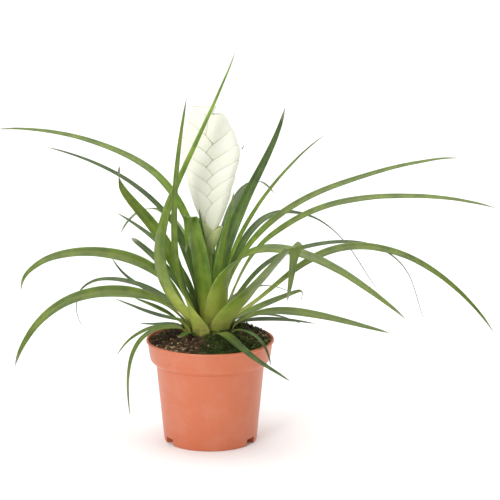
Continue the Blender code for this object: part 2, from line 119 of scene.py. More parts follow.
def rounded(corners, steps=4):
    """Points along a profile, with each (radius, height, rounding) corner turned into an arc."""
    points = []
    for before, corner, after in zip(corners, corners[1:], corners[2:]):
        here = Vector(corner[:2])
        into = (Vector(before[:2]) - here).normalized()
        onward = (Vector(after[:2]) - here).normalized()
        for step in range(steps + 1):
            share = step / steps
            first = here + into * corner[2] * (1.0 - share)
            second = here + onward * corner[2] * share
            points.append(tuple(first.lerp(second, share)))
    return [corners[0][:2]] + points + [corners[-1][:2]]


pot_profile = rounded(
    [
        (0.0, 0.0, 0.0),
        (FOOT_RADIUS - 0.0001, 0.0, 0.0010),
        (0.0382, 0.0555, 0.0005),
        (0.0419, 0.0582, 0.0014),
        (0.0426, 0.0610, 0.0010),
        (0.0440, 0.0708, 0.0004),
        (LIP, POT_HEIGHT - 0.0017, 0.0006),
        (LIP, POT_HEIGHT, 0.0009),
        (LIP - 0.0017, POT_HEIGHT, 0.0007),
        (0.0413, 0.0603, 0.0012),
        (0.0373, 0.0561, 0.0012),
        (0.0317, POT_WALL, 0.0008),
        (0.0, POT_WALL, 0.0),
    ]
)
pot = thrown("pot_moulding", pot_profile, POT_TURNS)


def turned_outwards(bm, verts, place, degrees):
    """Move a shape out from the axis to a place, and round the axis to a bearing."""
    bmesh.ops.translate(bm, vec=place, verts=verts)
    bmesh.ops.rotate(bm, matrix=Matrix.Rotation(math.radians(degrees), 3, "Z"), verts=verts)


def notch_blocks(grow, low, high, outer):
    """Blocks at the drainage notches, as one cutting or joining tool."""
    bm = bmesh.new()
    inner = FOOT_RADIUS - NOTCH_DEPTH - grow
    for degrees in NOTCH_BEARINGS:
        block = bmesh.ops.create_cube(bm, size=1.0)["verts"]
        size = (outer - inner, NOTCH_WIDTH + 2.0 * grow, high - low)
        bmesh.ops.scale(bm, vec=size, verts=block)
        turned_outwards(bm, block, (0.5 * (outer + inner), 0.0, 0.5 * (high + low)), degrees)
    bmesh.ops.bevel(
        bm, geom=bm.edges[:], offset=NOTCH_ROUNDING, segments=3, profile=0.5, affect="EDGES"
    )
    return close_up("notch_blocks", bm)


def drain_rods():
    bm = bmesh.new()
    for degrees in NOTCH_BEARINGS:
        rod = bmesh.ops.create_cone(
            bm,
            cap_ends=True,
            segments=28,
            radius1=DRAIN_RADIUS,
            radius2=DRAIN_RADIUS,
            depth=2.5 * POT_WALL,
        )["verts"]
        turned_outwards(bm, rod, (DRAIN_PLACE, 0.0, NOTCH_HEIGHT + 0.5 * POT_WALL), degrees)
    return close_up("drain_rods", bm)


def baked(piece):
    """Turn a piece's live modifiers into plain mesh."""
    graph = bpy.context.evaluated_depsgraph_get()
    mesh = bpy.data.meshes.new_from_object(piece.evaluated_get(graph))
    piece.modifiers.clear()
    piece.data = mesh
    return piece


def combine(piece, tool, operation):
    modifier = piece.modifiers.new("combine", "BOOLEAN")
    modifier.operation = operation
    modifier.solver = "EXACT"
    modifier.object = tool
    baked(piece)
    bpy.data.objects.remove(tool, do_unlink=True)


pocket_roof = NOTCH_HEIGHT + POT_WALL
combine(pot, notch_blocks(POT_WALL, 0.6 * POT_WALL, pocket_roof, FOOT_RADIUS - 0.001), "UNION")
combine(pot, notch_blocks(0.0, -0.002, NOTCH_HEIGHT, FOOT_RADIUS + 0.003), "DIFFERENCE")
combine(pot, drain_rods(), "DIFFERENCE")
pot.data.shade_smooth()
pot.data.set_sharp_from_angle(angle=SHARPEST_SMOOTH)


class Shading:
    """A node tree, with short words for adding and joining its nodes."""

    def __init__(self, tree):
        self.tree = tree

    def put(self, source, socket):
        """Link another node's output to a socket, or set the socket to a plain value."""
        if hasattr(source, "is_output"):
            self.tree.links.new(source, socket)
        elif socket.type == "RGBA" and len(source) == 3:
            socket.default_value = (*source, 1.0)
        else:
            socket.default_value = source

    def add(self, kind, links=None, **settings):
        node = self.tree.nodes.new(kind)
        for name, value in settings.items():
            setattr(node, name, value)
        for socket, source in (links or {}).items():
            self.put(source, node.inputs[socket])
        return node

    def math(self, operation, first, second=0.0, third=0.0, clamp=False):
        links = {0: first, 1: second, 2: third}
        return self.add("ShaderNodeMath", links, operation=operation, use_clamp=clamp).outputs[0]

    def vector(self, operation, links):
        return self.add("ShaderNodeVectorMath", links, operation=operation).outputs[0]

    def mix(self, share, first, second, blend="MIX"):
        links = {0: share, 6: first, 7: second}
        return self.add("ShaderNodeMix", links, data_type="RGBA", blend_type=blend).outputs[2]

    def ramp(self, source, low, high):
        links = {0: source, 1: low, 2: high}
        return self.add("ShaderNodeMapRange", links, interpolation_type="SMOOTHSTEP").outputs[0]

    def noise(self, where, scale, detail=2.0, roughness=0.5):
        links = {"Vector": where, "Scale": scale, "Detail": detail, "Roughness": roughness}
        return self.add("ShaderNodeTexNoise", links).outputs[0]

    def where(self):
        return self.add("ShaderNodeTexCoord").outputs["Object"]

    def carried(self, name):
        """A value that the mesh carries in an attribute."""
        return self.add("ShaderNodeAttribute", attribute_name=name).outputs["Fac"]

    def stretched(self, where, scale):
        return self.add("ShaderNodeMapping", {"Vector": where, "Scale": scale}).outputs[0]


def new_group(name, inputs, outputs):
    """An empty shader node group with named (name, kind, default) inputs and outputs."""
    tree = bpy.data.node_groups.new(name, "ShaderNodeTree")
    for label, kind, default in inputs:
        socket = tree.interface.new_socket(label, in_out="INPUT", socket_type=kind)
        if default is not None:
            socket.default_value = default
    for label, kind in outputs:
        tree.interface.new_socket(label, in_out="OUTPUT", socket_type=kind)
    start = tree.nodes.new("NodeGroupInput")
    end = tree.nodes.new("NodeGroupOutput")
    return Shading(tree), start.outputs, end.inputs


def new_material(name):
    material = bpy.data.materials.new(name)
    material.use_nodes = True
    return material, Shading(material.node_tree), material.node_tree.nodes["Principled BSDF"].inputs


def coat(shade, skin, colour, rough, height, strength, distance):
    """Give a skin its colour and roughness, and a relief that stands a distance out."""
    shade.put(colour, skin["Base Color"])
    shade.put(rough, skin["Roughness"])
    links = {"Strength": strength, "Distance": distance, "Height": height}
    shade.put(shade.add("ShaderNodeBump", links).outputs[0], skin["Normal"])


def make_dust_group():
    """Dust and water marks, in cloudy patches and in specks."""
    shade, start, end = new_group(
        "dust and water marks",
        (
            ("Colour", "NodeSocketColor", (0.7, 0.3, 0.2, 1.0)),
            ("Dust", "NodeSocketColor", (0.8, 0.62, 0.52, 1.0)),
            ("Amount", "NodeSocketFloat", 0.2),
            ("Where", "NodeSocketVector", None),
        ),
        (("Colour", "NodeSocketColor"), ("Mask", "NodeSocketFloat")),
    )
    clouds = shade.ramp(shade.noise(start["Where"], 55.0, 5.0, 0.6), 0.42, 0.72)
    specks = shade.ramp(shade.noise(start["Where"], 900.0, 2.0), 0.62, 0.78)
    mask = shade.math("MAXIMUM", clouds, specks)
    amount = shade.math("MULTIPLY", mask, start["Amount"], clamp=True)
    shade.put(shade.mix(amount, start["Colour"], start["Dust"]), end["Colour"])
    shade.put(amount, end["Mask"])
    return shade.tree


def pot_plastic():
    """Satin plastic: fine moulding grain, a little cloudiness, dust and water marks."""
    material, shade, skin = new_material("terracotta_plastic")
    where = shade.where()
    cloud = shade.noise(where, 38.0, 4.0)
    body = shade.mix(cloud, (0.612, 0.158, 0.066), (0.662, 0.182, 0.084))
    links = {"Colour": body, "Amount": 0.08, "Where": where}
    dusty = shade.add("ShaderNodeGroup", links, node_tree=make_dust_group()).outputs
    rough = shade.math("MULTIPLY_ADD", dusty["Mask"], 0.8, 0.36)
    grain = shade.noise(where, 2600.0, 2.0)
    coat(shade, skin, dusty["Colour"], rough, grain, 0.10, 0.0002)
    skin["Specular IOR Level"].default_value = 0.45
    return material


def dress(piece, material, node):
    """Give a piece its material, hang it on the root body, and hide the CAD node that it stands in
    for.
    """
    piece.data.materials.clear()
    piece.data.materials.append(material)
    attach(piece, "root")
    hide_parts(node)


dress(pot, pot_plastic(), "pot")

# Soil.  Damp dark peat, mounded to the plant and pressed down by watering, with chips of
# bark, pale grit and fibres on it, and green moss at the front, right and back.
SOIL_RINGS = 46
SOIL_TURNS = 150
SOIL_HEART = 0.0055
PEAT_CLUMP = 0.0013
PEAT_FADE = 0.002
soil_low, soil_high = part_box("soil")
SOIL_RADIUS = 0.5 * (soil_high[0] - soil_low[0]) - 0.0001
SOIL_TOP = soil_high[2]
SOIL_EDGE = 0.0706
SOIL_SKIRT = ((0.0407, 0.0604), (0.0367, 0.0564), (0.0362, 0.0540), (0.0318, 0.0072))
MOUND_RADIUS = 0.0196
MOUND_FALL = 0.85
COLLAR_RADIUS = 0.0250
COLLAR_HEIGHT = 0.0026
BANK_HEIGHT = 0.0036
BANK_RADIUS = 0.0355
BANK_HALF_WIDTH = 0.0105
# Bearing of the middle, degrees to where it ends on either side, and strength
BANK_BEHIND = (70.0, 95.0, 1.0)
BANK_RIGHT = (8.0, 42.0, 0.8)
DRIFT_LEFT = (222.0, 38.0, 1.0)
DRIFT_RIGHT = (348.0, 30.0, 1.2)
DRIFT_INNER = 0.021
DRIFT_FADE = 0.008
MOSS_FRONT = (302.0, 62.0, 1.7)
MOSS_BEHIND = (75.0, 95.0, 1.1)


def limited(value):
    return min(1.0, max(0.0, value))


def eased(share):
    """A share from 0 to 1 that starts and ends gently."""
    share = limited(share)
    return share * share * (3.0 - 2.0 * share)


def nearness(x, y, patch):
    """A patch's strength at a place, which falls evenly to nothing round the pot."""
    centre, spread, strength = patch
    bearing = math.degrees(math.atan2(y, x)) % 360.0
    return strength * max(0.0, 1.0 - abs((bearing - centre + 180.0) % 360.0 - 180.0) / spread)


def mound_height(radius):
    """The peat falls away from a collar heaped round the plant to the pot's wall."""
    fall = max(0.0, radius - MOUND_RADIUS) / (SOIL_RADIUS - MOUND_RADIUS)
    heap = eased((COLLAR_RADIUS - radius) / (COLLAR_RADIUS - MOUND_RADIUS))
    return SOIL_TOP - (SOIL_TOP - SOIL_EDGE) * fall**MOUND_FALL + COLLAR_HEIGHT * heap


def bank_height(x, y):
    """The peat and moss stand higher behind the plant and at its right, up over the lip."""
    across = max(0.0, 1.0 - abs(math.hypot(x, y) - BANK_RADIUS) / BANK_HALF_WIDTH)
    side = max(nearness(x, y, BANK_BEHIND), nearness(x, y, BANK_RIGHT))
    return BANK_HEIGHT * across**0.6 * min(1.0, 1.6 * side)


def litter_share(x, y):
    """Where the pale litter has gathered: in drifts at the front left and at the right."""
    drifts = max(nearness(x, y, DRIFT_LEFT), nearness(x, y, DRIFT_RIGHT))
    patchy = 0.5 + 1.1 * noise.noise(Vector((x, y, 0.8)) * 190.0)
    outer = limited((math.hypot(x, y) - DRIFT_INNER) / DRIFT_FADE)
    return limited(2.0 * drifts * outer * patchy)


def moss_share(x, y):
    """How mossy the surface is: most at the front right, and less behind the plant."""
    patchy = noise.noise(Vector((x, y, 0.3)) * 75.0) * 0.55
    return limited(nearness(x, y, MOSS_FRONT) + nearness(x, y, MOSS_BEHIND) + patchy - 0.15)


def make_soil():
    bm = bmesh.new()
    moss = bm.verts.layers.float.new("moss")
    drift = bm.verts.layers.float.new("drift")
    spokes = [math.tau * turn / SOIL_TURNS for turn in range(SOIL_TURNS)]
    rings = []
    for ring in range(SOIL_RINGS + 1):
        radius = SOIL_HEART + (SOIL_RADIUS - SOIL_HEART) * ring / SOIL_RINGS
        row = []
        for angle in spokes:
            x, y = radius * math.cos(angle), radius * math.sin(angle)
            clumps = noise.fractal(Vector((x, y, 0.0)) * 210.0, 0.9, 2.2, 4)
            edge = min(1.0, (SOIL_RADIUS - radius) / PEAT_FADE)
            share = moss_share(x, y)
            height = mound_height(radius) + PEAT_CLUMP * edge * (clumps + 0.6 * share)
            vert = bm.verts.new((x, y, height + bank_height(x, y)))
            vert[moss] = share
            vert[drift] = litter_share(x, y)
            row.append(vert)
        rings.append(row)
    for radius, height in SOIL_SKIRT:
        places = [(radius * math.cos(angle), radius * math.sin(angle), height) for angle in spokes]
        rings.append([bm.verts.new(place) for place in places])
    for inner, outer in zip(rings, rings[1:]):
        for turn in range(SOIL_TURNS):
            after = (turn + 1) % SOIL_TURNS
            bm.faces.new((inner[turn], outer[turn], outer[after], inner[after]))
    bm.faces.new(rings[0])
    bm.faces.new(rings[-1][::-1])
    return close_up("peat", bm)


def make_crumb_group():
    """Crumbly peat: mixed dark browns with reddish and pale crumbs, and its height."""
    shade, start, end = new_group(
        "peat crumbs",
        (("Where", "NodeSocketVector", None), ("Dampness", "NodeSocketFloat", 0.5)),
        (("Colour", "NodeSocketColor"), ("Height", "NodeSocketFloat")),
    )
    where = start["Where"]
    coarse = shade.noise(where, 420.0, 5.0, 0.65)
    fine = shade.noise(where, 1700.0, 4.0, 0.7)
    crumbs = shade.add("ShaderNodeTexVoronoi", {"Vector": where, "Scale": 620.0})
    dry = shade.mix(coarse, (0.050, 0.026, 0.014), (0.155, 0.090, 0.050))
    dark = shade.mix(fine, (0.012, 0.008, 0.006), (0.070, 0.040, 0.024))
    colour = shade.mix(start["Dampness"], dry, dark)
    pale = shade.ramp(shade.noise(where, 1100.0, 1.0), 0.70, 0.76)
    height = shade.math("ADD", coarse, shade.math("MULTIPLY", crumbs.outputs["Distance"], -0.8))
    height = shade.math("ADD", height, shade.math("MULTIPLY", fine, 0.4))
    shade.put(shade.mix(pale, colour, (0.26, 0.17, 0.10)), end["Colour"])
    shade.put(height, end["Height"])
    return shade.tree


def peat():
    """Peat, going over to low moss where the moss mask says so."""
    material, shade, skin = new_material("peat_and_moss")
    where = shade.where()
    damp = shade.ramp(shade.noise(where, 60.0, 2.0), 0.35, 0.65)
    links = {"Where": where, "Dampness": damp}
    crumbs = shade.add("ShaderNodeGroup", links, node_tree=make_crumb_group()).outputs
    uneven = shade.math("MULTIPLY", shade.noise(where, 500.0, 3.0), 0.5)
    cover = shade.ramp(shade.math("ADD", shade.carried("moss"), uneven), 0.55, 0.95)
    green = shade.mix(shade.noise(where, 900.0, 3.0), (0.020, 0.040, 0.010), (0.10, 0.16, 0.035))
    colour = shade.mix(cover, crumbs["Colour"], green)
    coat(shade, skin, colour, 0.95, crumbs["Height"], 0.9, 0.0008)
    skin["Specular IOR Level"].default_value = 0.15
    return material


soil = make_soil()
dress(soil, peat(), "soil")


class Growing(Shading):
    """A Geometry Nodes tree, with the same short words for adding and joining nodes."""

    def __init__(self, name, inputs):
        tree = bpy.data.node_groups.new(name, "GeometryNodeTree")
        tree.interface.new_socket("Geometry", in_out="INPUT", socket_type="NodeSocketGeometry")
        for label, kind, default in inputs:
            socket = tree.interface.new_socket(label, in_out="INPUT", socket_type=kind)
            if default is not None:
                socket.default_value = default
        tree.interface.new_socket("Geometry", in_out="OUTPUT", socket_type="NodeSocketGeometry")
        super().__init__(tree)
        self.start = tree.nodes.new("NodeGroupInput").outputs
        self.end = tree.nodes.new("NodeGroupOutput").inputs

    def carried(self, name):
        attribute = "GeometryNodeInputNamedAttribute"
        return self.add(attribute, {"Name": name}, data_type="FLOAT").outputs[0]

    def blend(self, share, first, second):
        return self.add("ShaderNodeMix", {0: share, 2: first, 3: second}).outputs[0]

    def lifted(self, surface, height):
        """Move a surface out along its normal."""
        normal = self.add("GeometryNodeInputNormal").outputs[0]
        offset = self.vector("SCALE", {0: normal, "Scale": height})
        links = {"Geometry": surface, "Offset": offset}
        return self.add("GeometryNodeSetPosition", links).outputs[0]

    def finish(self, geometry):
        """Make every copy real, give it the material, and end the tree."""
        real = self.add("GeometryNodeRealizeInstances", {0: geometry}).outputs[0]
        links = {"Geometry": real, "Material": self.start["Material"]}
        self.put(self.add("GeometryNodeSetMaterial", links).outputs[0], self.end[0])
        return self.tree


def grown(name, base, tree, values):
    """Run a Geometry Nodes tree on a copy of a base mesh, and keep the plain result."""
    piece = link(name, base.data.copy())
    modifier = piece.modifiers.new("grow", "NODES")
    modifier.node_group = tree
    for item in tree.interface.items_tree:
        if item.in_out == "INPUT" and item.name in values:
            modifier[item.identifier] = values[item.name]
    return baked(piece)


def litter_tree():
    """Small pieces strewn over a surface, lying flat but turned every way."""
    inputs = (
        ("Piece", "NodeSocketObject", None),
        ("Density", "NodeSocketFloat", 5000.0),
        ("Smallest", "NodeSocketFloat", 0.5),
        ("Largest", "NodeSocketFloat", 1.5),
        ("Tilt", "NodeSocketFloat", 0.5),
        ("Mossy", "NodeSocketFloat", 0.0),
        ("Gathered", "NodeSocketFloat", 0.0),
        ("Seed", "NodeSocketInt", 1),
        ("Material", "NodeSocketMaterial", None),
    )
    grow = Growing("litter on the soil", inputs)
    start = grow.start
    moss = grow.carried("moss")
    wanted = grow.blend(start["Mossy"], grow.math("SUBTRACT", 1.0, moss), moss)
    wanted = grow.blend(start["Gathered"], wanted, grow.carried("drift"))
    normal = grow.add("GeometryNodeInputNormal").outputs[0]
    upward = grow.add("ShaderNodeSeparateXYZ", {0: normal}).outputs[2]
    level = grow.math("GREATER_THAN", upward, 0.45)
    density = grow.math("MULTIPLY", grow.math("MULTIPLY", wanted, level), start["Density"])
    links = {"Mesh": start["Geometry"], "Density": density, "Seed": start["Seed"]}
    points = grow.add("GeometryNodeDistributePointsOnFaces", links).outputs[0]
    piece = grow.add("GeometryNodeObjectInfo", {"Object": start["Piece"]}).outputs["Geometry"]
    sizes = {2: 0.0, 3: 1.0, "Seed": 5}
    size = grow.add("FunctionNodeRandomValue", sizes, data_type="FLOAT").outputs[1]
    scale = grow.blend(size, start["Smallest"], start["Largest"])
    turns = {0: (-1.0, -1.0, -3.1), 1: (1.0, 1.0, 3.1), "Seed": 9}
    lean = grow.add("FunctionNodeRandomValue", turns, data_type="FLOAT_VECTOR").outputs[0]
    tilts = grow.add("ShaderNodeCombineXYZ", {0: start["Tilt"], 1: start["Tilt"], 2: 1.0}).outputs[0]
    turned = grow.vector("MULTIPLY", {0: lean, 1: tilts})
    links = {"Points": points, "Instance": piece, "Scale": scale}
    strewn = grow.add("GeometryNodeInstanceOnPoints", links).outputs[0]
    links = {"Instances": strewn, "Rotation": turned}
    return grow.finish(grow.add("GeometryNodeRotateInstances", links).outputs[0])


litter = litter_tree()


def strew(piece, name, material, seed, density, smallest, largest, tilt, mossy, gathered):
    """Strew copies of a small piece over the soil, and take the first one away."""
    values = {
        "Piece": piece,
        "Density": density,
        "Smallest": smallest,
        "Largest": largest,
        "Tilt": tilt,
        "Mossy": mossy,
        "Gathered": gathered,
        "Seed": seed,
        "Material": material,
    }
    strewn = grown(name, soil, litter, values)
    bpy.data.objects.remove(piece, do_unlink=True)
    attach(strewn, "root")


def crumb(name, size, phase):
    """One angular chip: the hull of ten scattered points."""
    bm = bmesh.new()
    for index in range(10):
        around, level = 2.4 * index + phase, 1.3 * index
        spot = (
            size[0] * math.sin(around) * math.cos(level),
            size[1] * math.cos(around) * math.cos(level),
            size[2] * math.sin(level + 0.4 * phase),
        )
        bm.verts.new(spot)
    bmesh.ops.convex_hull(bm, input=bm.verts)
    bmesh.ops.delete(bm, geom=[vert for vert in bm.verts if not vert.link_faces], context="VERTS")
    return close_up(name, bm)


def crumb_material(name, light, dark, scale, rough=0.85):
    material, shade, skin = new_material(name)
    grain = shade.noise(shade.where(), scale, 4.0, 0.65)
    coat(shade, skin, shade.mix(grain, dark, light), rough, grain, 0.5, 0.0002)
    return material


def strew_chips(name, size, light, dark, seed, **amounts):
    material = crumb_material(name, light, dark, 1500.0)
    strew(crumb(name + "_one", size, seed), name, material, seed, tilt=0.6, **amounts)


strew_chips(
    "peat_lumps",
    (0.0014, 0.0012, 0.0010),
    (0.085, 0.045, 0.026),
    (0.010, 0.006, 0.004),
    seed=2,
    density=150000.0,
    smallest=0.3,
    largest=1.6,
    mossy=0.25,
    gathered=0.0,
)
strew_chips(
    "bark_chips",
    (0.0022, 0.0011, 0.0005),
    (0.34, 0.16, 0.07),
    (0.08, 0.03, 0.015),
    seed=5,
    density=40000.0,
    smallest=0.5,
    largest=1.5,
    mossy=0.16,
    gathered=0.3,
)
strew_chips(
    "pale_chips",
    (0.0017, 0.0008, 0.0004),
    (0.84, 0.66, 0.38),
    (0.42, 0.27, 0.12),
    seed=7,
    density=190000.0,
    smallest=0.35,
    largest=1.25,
    mossy=0.12,
    gathered=0.93,
)
strew_chips(
    "white_grit",
    (0.0008, 0.0007, 0.0007),
    (0.86, 0.78, 0.58),
    (0.60, 0.50, 0.32),
    seed=3,
    density=14000.0,
    smallest=0.5,
    largest=1.2,
    mossy=0.30,
    gathered=0.6,
)


def close_tube(name, bm, rings):
    """Join rings of corners into one tube with flat ends."""
    for lower, upper in zip(rings, rings[1:]):
        for corner in range(len(lower)):
            after = (corner + 1) % len(lower)
            bm.faces.new((lower[corner], lower[after], upper[after], upper[corner]))
    bm.faces.new(rings[0][::-1])
    bm.faces.new(rings[-1])
    return close_up(name, bm)


def fibre(name, length, width, bend):
    """A thin curved strand, as a three-sided tube."""
    bm = bmesh.new()
    rings = []
    for step in range(6):
        share = step / 5.0
        x = length * (share - 0.5)
        y = bend * math.sin(math.pi * share)
        z = 0.25 * bend * math.sin(math.tau * share) + width
        thick = width * (1.0 - 0.6 * abs(2.0 * share - 1.0))
        ring = []
        for corner in range(3):
            angle = math.tau * corner / 3.0
            ring.append(bm.verts.new((x, y + thick * math.cos(angle), z + thick * math.sin(angle))))
        rings.append(ring)
    return close_tube(name, bm, rings)


def strew_fibres(name, strand, light, dark, density, gathered):
    strew(
        strand,
        name,
        crumb_material(name, light, dark, 700.0),
        seed=31,
        density=density,
        smallest=0.35,
        largest=1.0,
        tilt=0.22,
        mossy=0.15,
        gathered=gathered,
    )


coir = fibre("coir_one", 0.0075, 0.00018, 0.0018)
strew_fibres("coir_fibres", coir, (0.74, 0.55, 0.28), (0.30, 0.18, 0.08), 90000.0, 0.8)
root = fibre("root_one", 0.0080, 0.00014, 0.0022)
strew_fibres("dark_roots", root, (0.14, 0.08, 0.045), (0.03, 0.02, 0.012), 9000.0, 0.0)

# Moss.  A low cushion of tiny pointed leaves on short shoots, in dull and bright green
# patches, growing thickest at the front right of the plant and behind it.
MOSS_SHOOT = 0.0021
SHOOT_FACES = ((0, 1, 3), (1, 2, 3), (0, 4, 1), (1, 4, 2), (2, 4, 3), (3, 4, 0))


def moss_shoot():
    """One shoot: whorls of narrow leaves, each a single folded blade."""
    bm = bmesh.new()
    up = Vector((0.0, 0.0, MOSS_SHOOT))
    for whorl in range(3):
        foot = up * (0.10 + 0.28 * whorl)
        reach = MOSS_SHOOT * (0.62 - 0.14 * whorl)
        for blade in range(4):
            angle = math.tau * blade / 4.0 + 0.8 * whorl
            out = Vector((math.cos(angle), math.sin(angle), 0.0))
            across = Vector((-math.sin(angle), math.cos(angle), 0.0)) * (0.13 * MOSS_SHOOT)
            middle = foot + out * (0.55 * reach) + up * 0.22
            tip = foot + out * reach + up * 0.50
            places = (foot, middle + across, tip, middle - across, middle - up * 0.10)
            corners = [bm.verts.new(place) for place in places]
            for face in SHOOT_FACES:
                bm.faces.new([corners[index] for index in face])
    bmesh.ops.recalc_face_normals(bm, faces=bm.faces)
    mesh = bpy.data.meshes.new("moss_shoot")
    bm.to_mesh(mesh)
    bm.free()
    return link("moss_shoot", mesh)


def moss_green():
    material, shade, skin = new_material("moss_green")
    where = shade.where()
    patches = shade.ramp(shade.noise(where, 140.0, 3.0), 0.35, 0.68)
    speckle = shade.noise(where, 1600.0, 2.0)
    dark = shade.mix(speckle, (0.022, 0.038, 0.010), (0.07, 0.105, 0.022))
    light = shade.mix(speckle, (0.085, 0.130, 0.025), (0.21, 0.26, 0.065))
    shade.put(shade.mix(patches, dark, light), skin["Base Color"])
    skin["Roughness"].default_value = 0.75
    skin["Specular IOR Level"].default_value = 0.25
    return material


strew(
    moss_shoot(),
    "moss_cushion",
    moss_green(),
    seed=17,
    density=620000.0,
    smallest=0.45,
    largest=1.0,
    tilt=0.45,
    mossy=1.0,
    gathered=0.0,
)

# Leaves.  Each grew from the short stem as one strap: a broad pale sheath that hugs the
# ones inside it, then a long channelled blade with fine lengthwise veins and a dry tip.
LEAF_LEVELS = 2
LEAF_LANES = (-1.0, -0.33, 0.33, 1.0)
ROWS_BETWEEN = 2
slot_of = {part["node"]: part["material_slot"] for part in frame["record"]["subparts"]}


def nodes_named(start):
    return [name for name in sorted(frame["nodes"]) if name.startswith(start)]


def leaf_rings(node):
    """A CAD leaf's tip, and its six-cornered cross-sections from the root to the tip."""
    bm = bmesh.new()
    bm.from_mesh(frame["nodes"][node].data)
    bmesh.ops.remove_doubles(bm, verts=bm.verts, dist=2e-6)
    bm.verts.ensure_lookup_table()
    for tip in bm.verts:
        seen = {tip.index}
        layers = [[tip]]
        while layers[-1]:
            following = []
            for vert in layers[-1]:
                for edge in vert.link_edges:
                    other = edge.other_vert(vert)
                    if other.index not in seen:
                        seen.add(other.index)
                        following.append(other)
            layers.append(following)
        rings = layers[-2:0:-1]
        if rings and all(len(ring) == 6 for ring in rings):
            found = tip.co.copy(), [[vert.co.copy() for vert in ring] for ring in rings]
            bm.free()
            return found
    raise SystemExit("no clean rings in " + node)


def strap_rows(tip, rings):
    """Each ring as margin, two inner points, margin, and the strap's thickness there."""
    rows = []
    before = None
    for ring in rings:
        pairs = [(a, b) for index, a in enumerate(ring) for b in ring[index + 1:]]
        first, second = max(pairs, key=lambda pair: (pair[0] - pair[1]).length)
        if before is not None and (second - before).length < (first - before).length:
            first, second = second, first
        across = (second - first).normalized()
        inner = [corner for corner in ring if corner is not first and corner is not second]
        inner.sort(key=lambda corner: (corner - first).dot(across))
        left = 0.5 * (inner[0] + inner[1])
        right = 0.5 * (inner[2] + inner[3])
        thick = 0.5 * ((inner[0] - inner[1]).length + (inner[2] - inner[3]).length)
        rows.append(([first, left, right, second], thick))
        before = first
    rows.append(([tip.lerp(corner, 0.02) for corner in rows[-1][0]], 0.0))
    rows[0] = (rows[0][0], 0.0)
    return rows


def between(a, b, c, d, share):
    """A point on the smooth curve that runs through b and c."""
    square, cube = share * share, share * share * share
    return 0.5 * (
        2.0 * b
        + (c - a) * share
        + (2.0 * a - 5.0 * b + 4.0 * c - d) * square
        + (3.0 * b - a - 3.0 * c + d) * cube
    )


def woven(node, grid, length):
    """A sheet through rows of (place, along, across, thickness) points, root to tip."""
    bm = bmesh.new()
    uv = bm.loops.layers.uv.new("UVMap")
    along = bm.verts.layers.float.new("along")
    across = bm.verts.layers.float.new("across")
    thickness = bm.verts.layers.float.new("thick")
    lines = []
    for row in grid:
        line = []
        for place, travelled, sideways, thick in row:
            vert = bm.verts.new(place)
            vert[along] = travelled
            vert[across] = sideways
            vert[thickness] = thick
            line.append(vert)
        lines.append(line)
    for lower, upper in zip(lines, lines[1:]):
        for lane in range(len(lower) - 1):
            face = bm.faces.new((lower[lane], lower[lane + 1], upper[lane + 1], upper[lane]))
            for loop in face.loops:
                loop[uv].uv = (0.5 + 0.5 * loop.vert[across], loop.vert[along] * length)
    mesh = bpy.data.meshes.new(node + "_sheet")
    bm.to_mesh(mesh)
    bm.free()
    return link(node + "_sheet", mesh)


def strap_sheet(node):
    """The leaf as one sheet, with more rows than the CAD leaf has cross-sections."""
    rows = strap_rows(*leaf_rings(node))
    fine = []
    for index in range(len(rows) - 1):
        around = [rows[max(0, min(len(rows) - 1, index + offset))] for offset in (-1, 0, 1, 2)]
        for step in range(ROWS_BETWEEN):
            share = step / ROWS_BETWEEN
            points = [between(*[row[0][lane] for row in around], share) for lane in range(4)]
            thick = around[1][1] + (around[2][1] - around[1][1]) * share
            fine.append((points, thick))
    fine.append(rows[-1])
    lengths = [0.0]
    for lower, upper in zip(fine, fine[1:]):
        middle = 0.5 * (upper[0][1] + upper[0][2]) - 0.5 * (lower[0][1] + lower[0][2])
        lengths.append(lengths[-1] + middle.length)
    grid = []
    for (points, thick), travelled in zip(fine, lengths):
        share = travelled / lengths[-1]
        grid.append([(place, share, lane, thick) for place, lane in zip(points, LEAF_LANES)])
    return woven(node, grid, lengths[-1])


